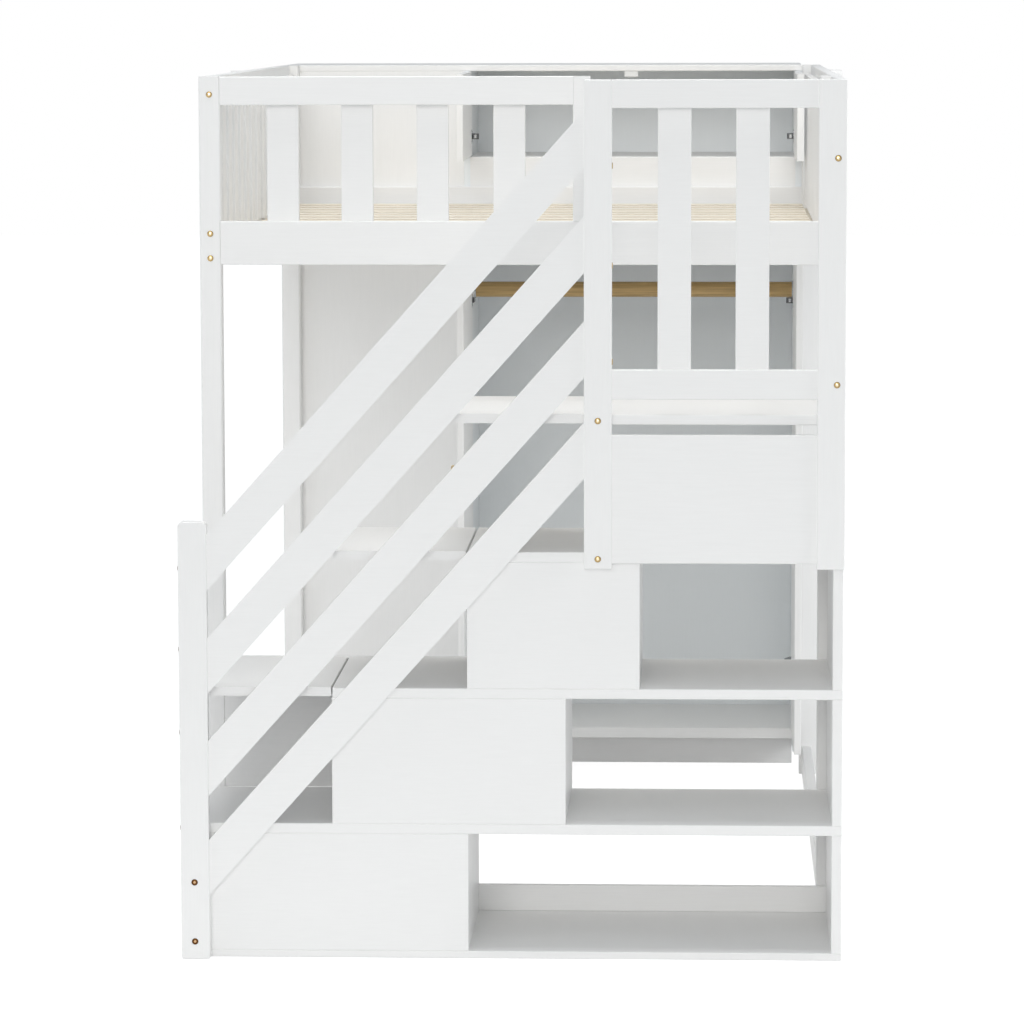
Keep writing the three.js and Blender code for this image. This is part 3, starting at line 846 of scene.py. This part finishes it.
@dataclass
class FlapHinges:
    """The hinges under the three riser flaps."""

    tread_lefts: tuple[float, ...] = (334.0, 630.0, 893.0)
    tread_tops: tuple[float, ...] = (597.6, 897.2, 1196.8)
    rears: tuple[float, ...] = (465.0, 465.0, 398.0)
    front: float = 12.0
    inset: float = 60.0
    axis_from_tread: float = 14.75
    leaf_thick: float = 20.0
    hinge: ConcealedHinge = field(default_factory=lambda: ConcealedHinge(20.0, 12.0))

    def build(self, steel: bpy.types.Material) -> None:
        """Make the cups of each flap and the arms under each tread.

        Args:
            steel: The hinges' finish.
        """
        out = Vector((0.0, 0.0, -1.0))
        back = Vector((1.0, 0.0, 0.0))
        places = zip(self.tread_lefts, self.tread_tops, self.rears)
        for level, (left, top, rear) in enumerate(places, start=2):
            cups = bmesh.new()
            arms = bmesh.new()
            for y in (self.front + self.inset, rear - self.inset):
                at = place(left - self.axis_from_tread, y, top - self.leaf_thick / 2)
                seat = hinge_seat(out, back, at)
                self.hinge.add_cup(cups, seat)
                self.hinge.add_arm(arms, seat)
            flap = f"riser_flap_{level}"
            mesh_piece(f"{flap}_hinge_cups", cups, steel, flap)
            mesh_piece(f"{flap}_hinge_arms", arms, steel, FRAME_BODY)
        LOG.info("flap hinges: %d flaps", len(self.tread_lefts))


@dataclass
class RodSockets:
    """The round sockets that hold the hanging rod."""

    rod_y: float = 2665.0
    rod_z: float = 1302.5
    bore: float = 21.3
    rim: float = 3.0
    floor: float = 2.8
    depth: float = 4.5
    ease: float = 1.2
    skin: float = 0.12

    def build(self, steel: bpy.types.Material) -> None:
        """Make both sockets.

        Args:
            steel: Their finish.
        """
        outer = self.bore + self.rim + self.skin
        top = self.depth + self.skin
        profile = [
            (0.0, LIFT),
            (outer, LIFT),
            (outer, top - self.ease),
            (outer - self.ease, top),
            (self.bore - self.skin, top),
            (self.bore - self.skin, self.floor),
            (0.0, self.floor),
        ]
        for side, x, facing in (
            ("left", DIVIDER_RIGHT, Facing.RIGHT),
            ("right", OPENING_RIGHT, Facing.LEFT),
        ):
            ring = bmesh.new()
            seat = Matrix.Translation(place(x, self.rod_y, self.rod_z)) @ facing.turn()
            add_lathe(ring, profile, FINE_STEPS, seat)
            mesh_piece(f"rod_socket_{side}", ring, steel, FRAME_BODY)
        LOG.info("rod sockets: 2 in place")


@dataclass
class BoltSet:
    """Furniture bolts with rounded heads and a small crown on each, in a brighter metal that
    paints in the highlight at the head's middle.

    The heads' rounding is given in shares of the radius and of the height, and the levels of the
    crown in shares of the height.
    """

    name: str
    spots: list[tuple[Facing, float, float, float]]
    radius: float = BOLT_RADIUS
    proud: float = BOLT_PROUD
    rounding: Profile = ((1.0, 0.35), (0.88, 0.7), (0.66, 0.9))
    recess: float = 0.94
    crown: float = 2.7
    crown_foot: float = 0.6
    crown_edge: float = 0.95
    crown_flat: float = 0.6

    def build(self, rim: bpy.types.Material, bright: bpy.types.Material) -> None:
        """Make the heads and their crowns, whose brighter metal is a painted highlight.

        Args:
            rim: The heads' finish.
            bright: The crowns' finish, a brighter metal that paints in the highlight.
        """
        heads = bmesh.new()
        highlight_crowns = bmesh.new()
        radius, proud, crown = self.radius, self.proud, self.crown
        head = [
            (0.0, LIFT),
            (radius, LIFT),
            *((share * radius, rise * proud) for share, rise in self.rounding),
            (crown, self.recess * proud),
            (0.0, self.recess * proud),
        ]
        top = [
            (0.0, self.crown_foot * proud),
            (crown, self.crown_foot * proud),
            (crown, self.crown_edge * proud),
            (self.crown_flat * crown, proud),
            (0.0, proud),
        ]
        for facing, x, y, z in self.spots:
            seat = Matrix.Translation(place(x, y, z)) @ facing.turn()
            add_lathe(heads, head, BOLT_STEPS, seat)
            add_lathe(highlight_crowns, top, SMALL_STEPS, seat)
        mesh_piece(f"{self.name}_heads", heads, rim, FRAME_BODY)
        mesh_piece(f"{self.name}_crowns", highlight_crowns, bright, FRAME_BODY)
        LOG.info("%s: %d bolts", self.name, len(self.spots))


@dataclass
class BoredPost:
    """A post of the handrail frame with a shallow counterbore for each front bolt."""

    node: str
    bolts: list[tuple[float, float]]
    front: float = POST_FRONT
    clear: float = 0.25
    below: float = 0.1
    above: float = 1.0

    def bore_cutter(self) -> bpy.types.Object:
        """Return the solid that takes the counterbores away."""
        bores = bmesh.new()
        radius, depth = BOLT_RADIUS + self.clear, BOLT_PROUD + self.below
        bore = [(0.0, -depth), (radius, -depth), (radius, self.above), (0.0, self.above)]
        for x, z in self.bolts:
            seat = Matrix.Translation(place(x, self.front, z)) @ Facing.FRONT.turn()
            add_lathe(bores, bore, BORE_STEPS, seat)
        bmesh.ops.recalc_face_normals(bores, faces=bores.faces)
        data = bpy.data.meshes.new("bores")
        bores.to_mesh(data)
        bores.free()
        return add_object("bores", data)

    def build(self, nodes: dict[str, bpy.types.Object], paint: bpy.types.Material) -> None:
        """Cut the counterbores into a copy of the CAD post and show the copy.

        Args:
            nodes: The CAD nodes by name.
            paint: The post's finish.
        """
        cutter = self.bore_cutter()
        blank = add_object("blank", nodes[self.node].data.copy())
        cut = blank.modifiers.new("bores", "BOOLEAN")
        cut.operation = "DIFFERENCE"
        cut.solver = "EXACT"
        cut.object = cutter
        bpy.context.view_layer.update()
        evaluated = blank.evaluated_get(bpy.context.evaluated_depsgraph_get())
        data = bpy.data.meshes.new_from_object(evaluated)
        for piece in (cutter, blank):
            bpy.data.objects.remove(piece)
        data.materials.clear()
        data.materials.append(paint)
        post = add_object(f"{self.node}_bored", data)
        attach(post, FRAME_BODY)
        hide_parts(self.node)


@dataclass
class FrameBolts:
    """Where the bolts of the handrail frame and of the bed's front-left post sit."""

    newel_left: float = 1.0
    upper_post_right: float = 943.0
    post_middle_y: float = -14.5
    bed_post_front: float = 465.0
    bed_post_middle: tuple[float, float] = (24.0, 489.0)
    newel_side: tuple[float, ...] = (290.0, 501.0, 684.0, 861.5)
    upper_post_side: tuple[float, ...] = (1312.5, 1520.0, 1734.0)
    bed_post_face: tuple[float, ...] = (1508.5, 1564.0, 1877.7)
    bed_post_side: tuple[float, ...] = (1516.0, 1566.0, 1888.0)

    def sets(self) -> list[BoltSet]:
        """Return the bolts of each post."""
        front, left, right = Facing.FRONT, Facing.LEFT, Facing.RIGHT
        sunk = POST_FRONT + BOLT_PROUD
        post_y = self.post_middle_y
        newel = [(front, x, sunk, z) for x, z in NEWEL_BOLTS]
        newel += [(left, self.newel_left, post_y, z) for z in self.newel_side]
        upper = [(front, x, sunk, z) for x, z in UPPER_POST_BOLTS]
        upper += [(right, self.upper_post_right, post_y, z) for z in self.upper_post_side]
        outer = [(front, x, sunk, z) for x, z in RIGHT_POST_BOLTS]
        bed_x, bed_y = self.bed_post_middle
        bed = [(front, bed_x, self.bed_post_front, z) for z in self.bed_post_face]
        bed += [(left, 0.0, bed_y, z) for z in self.bed_post_side]
        return [
            BoltSet("newel_bolts", newel),
            BoltSet("upper_post_bolts", upper),
            BoltSet("right_post_bolts", outer),
            BoltSet("bed_post_bolts", bed),
        ]


@dataclass
class Boards:
    """The painted boards, posts and rails, which keep their CAD shapes."""

    crosswise: tuple[str, ...] = (
        "floor_shelf",
        "tread_board",
        "landing_board",
        "box",
        "landing_front_panel",
        "rear_stretcher",
        "bed_front_rail",
        "bed_rear_rail",
        "wardrobe_top",
        "wardrobe_floor",
        "wardrobe_shelf",
        "wardrobe_fixed_front",
        "wardrobe_kick_edge",
        "wardrobe_plinth",
        "landing_front_guard",
        "front_guard",
        "stair_rail",
    )
    lengthwise: tuple[str, ...] = ("bed_side_rail", "floor_rail", "side_guard", "riser_flap")

    def grain_of(self, node: str) -> Grain:
        """Return the grain direction of a painted node.

        Args:
            node: The CAD node's name.

        Returns:
            The direction of its boards.
        """
        if node.startswith(self.lengthwise):
            return Grain.Y
        if node.startswith(self.crosswise) or node.endswith("_box"):
            return Grain.X
        return Grain.Z

    def dress(
        self, nodes: dict[str, bpy.types.Object], finishes: dict[str, bpy.types.Material]
    ) -> None:
        """Give every CAD node its finish.

        Args:
            nodes: The CAD nodes by name.
            finishes: The special finishes by node name.
        """
        paint = {grain: SatinPaint().material(grain) for grain in Grain}
        for name, node in nodes.items():
            material = finishes.get(name) or paint[self.grain_of(name)]
            if not node.material_slots:
                node.data.materials.append(material)
            for slot in node.material_slots:
                slot.material = material
        LOG.info("boards: %d nodes dressed", len(nodes))


def hang(name: str, lamp: bpy.types.Light, position: Vector, direction: Vector) -> None:
    """Hang a lamp so that it looks along a direction.

    Args:
        name: The lamp's name.
        lamp: The lamp.
        position: Its place in metres.
        direction: The direction of its light.
    """
    holder = add_object(name, lamp)
    holder.location = position
    holder.rotation_mode = "QUATERNION"
    holder.rotation_quaternion = direction.to_track_quat("-Z", "Y")


@dataclass(frozen=True)
class Softbox:
    """One soft studio lamp."""

    name: str
    position: tuple[float, float, float]
    target: tuple[float, float, float]
    width: float
    height: float
    power: float
    spread: float = 180.0

    def build(self) -> None:
        """Hang the lamp and turn it to its target."""
        lamp = bpy.data.lights.new(self.name, "AREA")
        lamp.shape = "RECTANGLE"
        lamp.size = self.width
        lamp.size_y = self.height
        lamp.energy = self.power
        lamp.spread = math.radians(self.spread)
        position = Vector(self.position)
        hang(self.name, lamp, position, Vector(self.target) - position)


@dataclass(frozen=True)
class FarSoftbox:
    """A large softbox so far from the object that near and far pieces get the same light."""

    name: str
    from_left: float
    from_above: float
    spread: float
    strength: float
    colour: Colour
    distance: float = 10.0

    def build(self) -> None:
        """Set up the lamp at its angles in degrees, left of straight ahead and above the floor."""
        lamp = bpy.data.lights.new(self.name, "SUN")
        lamp.angle = math.radians(self.spread)
        lamp.energy = self.strength
        lamp.color = self.colour
        side, rise = math.radians(self.from_left), math.radians(self.from_above)
        direction = Vector((
            math.sin(side) * math.cos(rise),
            math.cos(side) * math.cos(rise),
            -math.sin(rise),
        ))
        hang(self.name, lamp, -self.distance * direction, direction)


@dataclass
class Studio:
    """A white studio: floor, even surround and soft lamps."""

    floor_half: float = 30.0
    floor_drop: float = 0.0005
    floor_colour: Colour = (0.9, 0.9, 0.9)
    surround: Colour = (0.92, 0.965, 1.0)
    surround_light: float = 0.43
    floor_glow: float = 0.86
    floor_shading: float = 0.4

    def build(self) -> None:
        """Make the floor, the world and the lamps."""
        self.build_floor()
        self.build_world()
        for lamp in (
            FarSoftbox(
                "front_softbox",
                from_left=3.0,
                from_above=14.0,
                spread=24.0,
                strength=0.72,
                colour=(1.0, 0.985, 0.96),
            ),
            Softbox(
                "key_softbox",
                position=(-2.4, -6.6, 6.2),
                target=(0.0, -0.6, 0.8),
                width=5.0,
                height=4.0,
                power=45.0,
            ),
            Softbox(
                "top_softbox",
                position=(0.0, -0.9, 6.2),
                target=(0.0, -0.9, 0.0),
                width=3.6,
                height=3.2,
                power=34.0,
                spread=75.0,
            ),
            Softbox(
                "left_softbox",
                position=(-4.4, -2.2, 1.2),
                target=(0.3, -0.4, 0.8),
                width=3.0,
                height=2.2,
                power=18.0,
            ),
            Softbox(
                "right_softbox",
                position=(4.4, -1.6, 1.5),
                target=(0.0, 0.2, 1.2),
                width=3.0,
                height=2.2,
                power=50.0,
            ),
        ):
            lamp.build()

    def build_floor(self) -> None:
        """Make the pale floor, white to the camera and with the object's shadow."""
        half = self.floor_half
        mesh = bmesh.new()
        corners = [(-half, -half), (half, -half), (half, half), (-half, half)]
        mesh.faces.new([mesh.verts.new((x, y, 0.0)) for x, y in corners])
        data = bpy.data.meshes.new("studio_floor")
        mesh.to_mesh(data)
        mesh.free()
        data.materials.append(self.floor_material())
        floor = add_object("studio_floor", data)
        floor.location.z = -self.floor_drop

    def floor_material(self) -> bpy.types.Material:
        """Return a floor that lights as plain pale board and shows white with a soft shadow."""
        graph = NodeGraph.new("studio_floor")
        nodes = graph.material.node_tree.nodes
        nodes.remove(graph.shader)
        plain = graph.add("ShaderNodeBsdfDiffuse")
        plain.inputs["Color"].default_value = (*self.floor_colour, 1.0)
        dim = graph.add("ShaderNodeBsdfDiffuse")
        dim.inputs["Color"].default_value = (self.floor_shading,) * 3 + (1.0,)
        glow = graph.add("ShaderNodeEmission")
        glow.inputs["Strength"].default_value = self.floor_glow
        shown = graph.add("ShaderNodeAddShader")
        graph.link(dim.outputs[0], shown.inputs[0])
        graph.link(glow.outputs[0], shown.inputs[1])
        choose = graph.add("ShaderNodeMixShader")
        rays = graph.add("ShaderNodeLightPath").outputs
        seen = (rays["Is Camera Ray"], rays["Is Glossy Ray"], rays["Is Transmission Ray"])
        graph.link(graph.larger(*seen), choose.inputs["Fac"])
        graph.link(plain.outputs[0], choose.inputs[1])
        graph.link(shown.outputs[0], choose.inputs[2])
        graph.link(choose.outputs[0], nodes["Material Output"].inputs["Surface"])
        return graph.material

    def build_world(self) -> None:
        """Light the object evenly and show a white background."""
        world = bpy.data.worlds.new("white_surround")
        world.use_nodes = True
        bpy.context.scene.world = world
        tree = world.node_tree
        light = tree.nodes["Background"]
        light.inputs["Color"].default_value = (*self.surround, 1.0)
        light.inputs["Strength"].default_value = self.surround_light
        white = tree.nodes.new("ShaderNodeBackground")
        white.inputs["Color"].default_value = (1.0, 1.0, 1.0, 1.0)
        white.inputs["Strength"].default_value = 1.0
        rays = tree.nodes.new("ShaderNodeLightPath")
        choose = tree.nodes.new("ShaderNodeMixShader")
        tree.links.new(rays.outputs["Is Camera Ray"], choose.inputs["Fac"])
        tree.links.new(light.outputs[0], choose.inputs[1])
        tree.links.new(white.outputs[0], choose.inputs[2])
        tree.links.new(choose.outputs[0], tree.nodes["World Output"].inputs["Surface"])


@dataclass
class PhotoCamera:
    """The camera that matches the photograph, found from the object's own edges."""

    x: float = 1149.4
    y: float = -9671.6
    z: float = 2068.7
    yaw: float = -0.0437
    pitch: float = 0.1115
    roll: float = -0.002
    focal_pixels: float = 4494.8
    picture_pixels: float = 1024.0
    sensor: float = 36.0
    nearest: float = 0.1
    farthest: float = 100.0

    def build(self) -> None:
        """Set up the camera as the scene's own."""
        lens = bpy.data.cameras.new("photo_camera")
        lens.sensor_width = self.sensor
        lens.lens = self.focal_pixels / self.picture_pixels * self.sensor
        lens.clip_start = self.nearest
        lens.clip_end = self.farthest
        camera = add_object("photo_camera", lens)
        forward = Vector((
            math.sin(self.yaw) * math.cos(self.pitch),
            math.cos(self.yaw) * math.cos(self.pitch),
            -math.sin(self.pitch),
        ))
        level = Vector((math.cos(self.yaw), -math.sin(self.yaw), 0.0))
        upward = level.cross(forward)
        right = level * math.cos(self.roll) + upward * math.sin(self.roll)
        up = upward * math.cos(self.roll) - level * math.sin(self.roll)
        turn = Matrix((right, up, -forward)).transposed().to_4x4()
        camera.matrix_world = Matrix.Translation(place(self.x, self.y, self.z)) @ turn
        bpy.context.scene.camera = camera
        LOG.info("camera: %.1f mm lens", lens.lens)


def main() -> None:
    """Build the looks in order."""
    logging.basicConfig(level=logging.INFO, format="%(name)s: %(message)s")
    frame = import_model()
    bpy.context.scene.view_settings.view_transform = "Standard"
    PhotoCamera().build()
    Studio().build()
    steel = STEEL.material()
    brass = BRASS.material()
    bronze = BRONZE.material()
    # The bolt crowns take the brighter metals, a painted highlight on each head.
    brass_highlight = HIGHLIGHT_BRASS.material()
    bronze_highlight = HIGHLIGHT_BRONZE.material()
    # Painted shade: the wardrobe's inside takes the cool shade tint.
    shade_tinted = SHADE_TINT_PAINT.material(Grain.Z)
    knobs = KNOB_BRASS.material()
    nodes = frame["nodes"]
    finishes = {
        "slat_base": BarePine().material(Grain.X),
        "hanging_rod": VarnishedRod().material(),
        "door_catch": MouldedPlastic().material(),
        "lower_left_door_knob": knobs,
        "lower_right_door_knob": knobs,
        "wardrobe_back": shade_tinted,
    }
    Boards().dress(nodes, finishes)
    HingeWalls().build(shade_tinted)
    # The arms and covers take the dark steel with the painted shade and reflections.
    WardrobeHinges().build(steel, SHADE_DARK_STEEL.material())
    FlapHinges().build(steel)
    RodSockets().build(steel)
    posts = SatinPaint("post_paint").material(Grain.Z)
    for node, spots in (
        ("newel_post", NEWEL_BOLTS),
        ("upper_post", UPPER_POST_BOLTS),
        ("right_post", RIGHT_POST_BOLTS),
    ):
        BoredPost(node, spots).build(nodes, posts)
    for bolts in FrameBolts().sets():
        if bolts.name.startswith("newel"):
            bolts.build(bronze, bronze_highlight)
        else:
            bolts.build(brass, brass_highlight)


if __name__ == "__main__":
    main()
